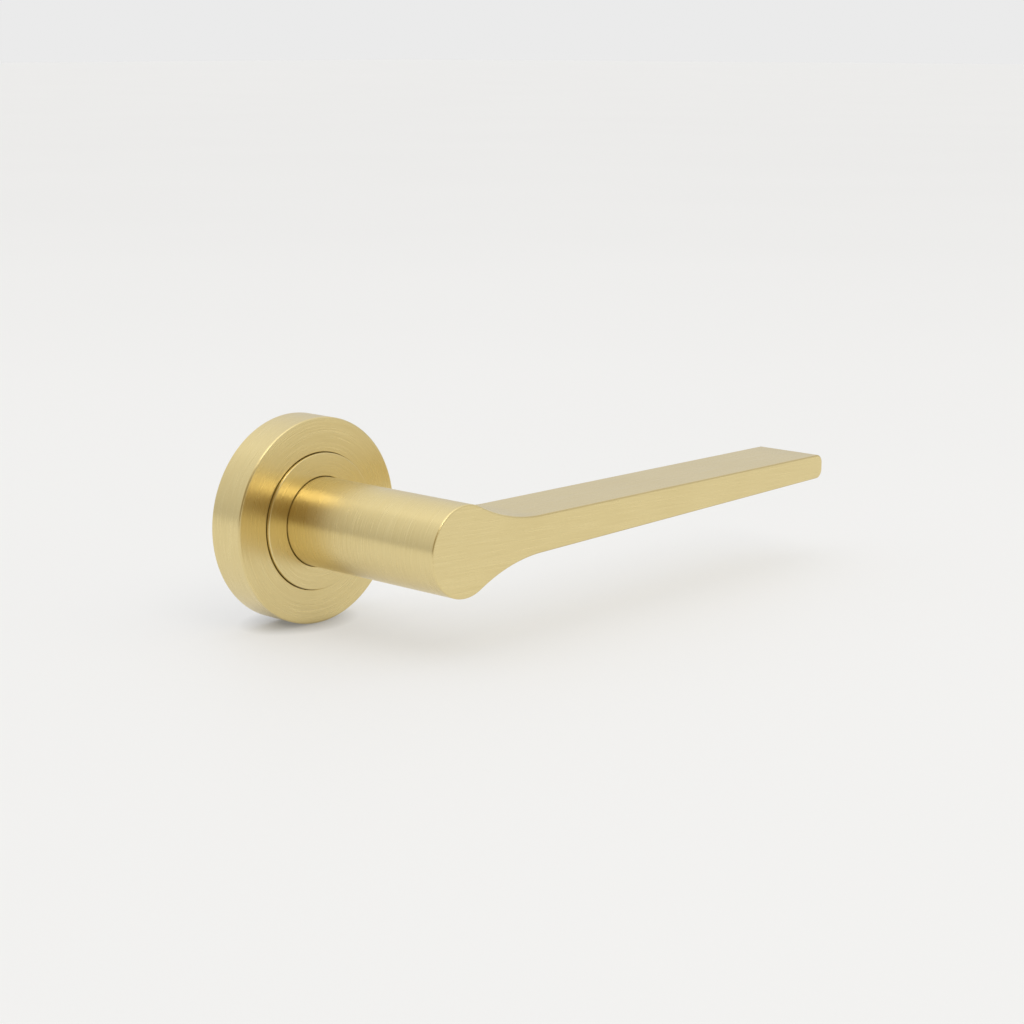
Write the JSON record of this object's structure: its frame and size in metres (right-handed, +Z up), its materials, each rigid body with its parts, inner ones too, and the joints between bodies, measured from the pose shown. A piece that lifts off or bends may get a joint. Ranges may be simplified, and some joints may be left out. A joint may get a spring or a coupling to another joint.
{
  "type": "door lever handle",
  "caption": "Straight tapered brass lever on a round neck and round rose, sprung, with concealed fixings, for one side of a door.",
  "frame": {"origin": "centre of the rose's back face, on the door's face and on the turning axis, which is also the centre of the two fixing posts", "axes": "+Z up the door, +Y into the door, the handle stands out towards -Y, and the lever runs towards +X"},
  "size_m": [0.1707, 0.0805, 0.052],
  "materials": {
    "satin_brass": "satin brushed, lacquered",
    "zinc_casting": "as cast zinc alloy",
    "white_acetal": "moulded, matte",
    "bright_steel": "zinc plated",
    "spring_steel": "oiled spring steel"
  },
  "bodies": {
    "rose": {"base_plate": "zinc_casting", "collar_ring": "satin_brass", "neck_bush": "white_acetal", "return_spring": "spring_steel", "fixing_post_upper": "bright_steel", "fixing_post_lower": "bright_steel", "cover_snap_ring": "spring_steel"},
    "lever": {"lever_handle": "satin_brass", "driver_cam": "bright_steel", "circlip": "spring_steel", "wave_washer": "spring_steel", "thrust_washer": "bright_steel", "spindle": "bright_steel", "grub_screw": "spring_steel"},
    "cover": {"rose_cover": "satin_brass"}
  },
  "joints": [
    {"name": "lever_turn", "type": "hinge", "parent": "rose", "child": "lever", "pos_m": [0, 0, 0], "axis": [0, 1, 0], "range_deg": [0, 45], "stiffness_Nm_per_rad": 1.6, "springref_deg": -25.78, "deforming": ["return_spring"]},
    {"name": "cover_slide", "type": "slide", "parent": "rose", "child": "cover", "axis": [0, -1, 0], "range_m": [0, 0.026]}
  ]
}
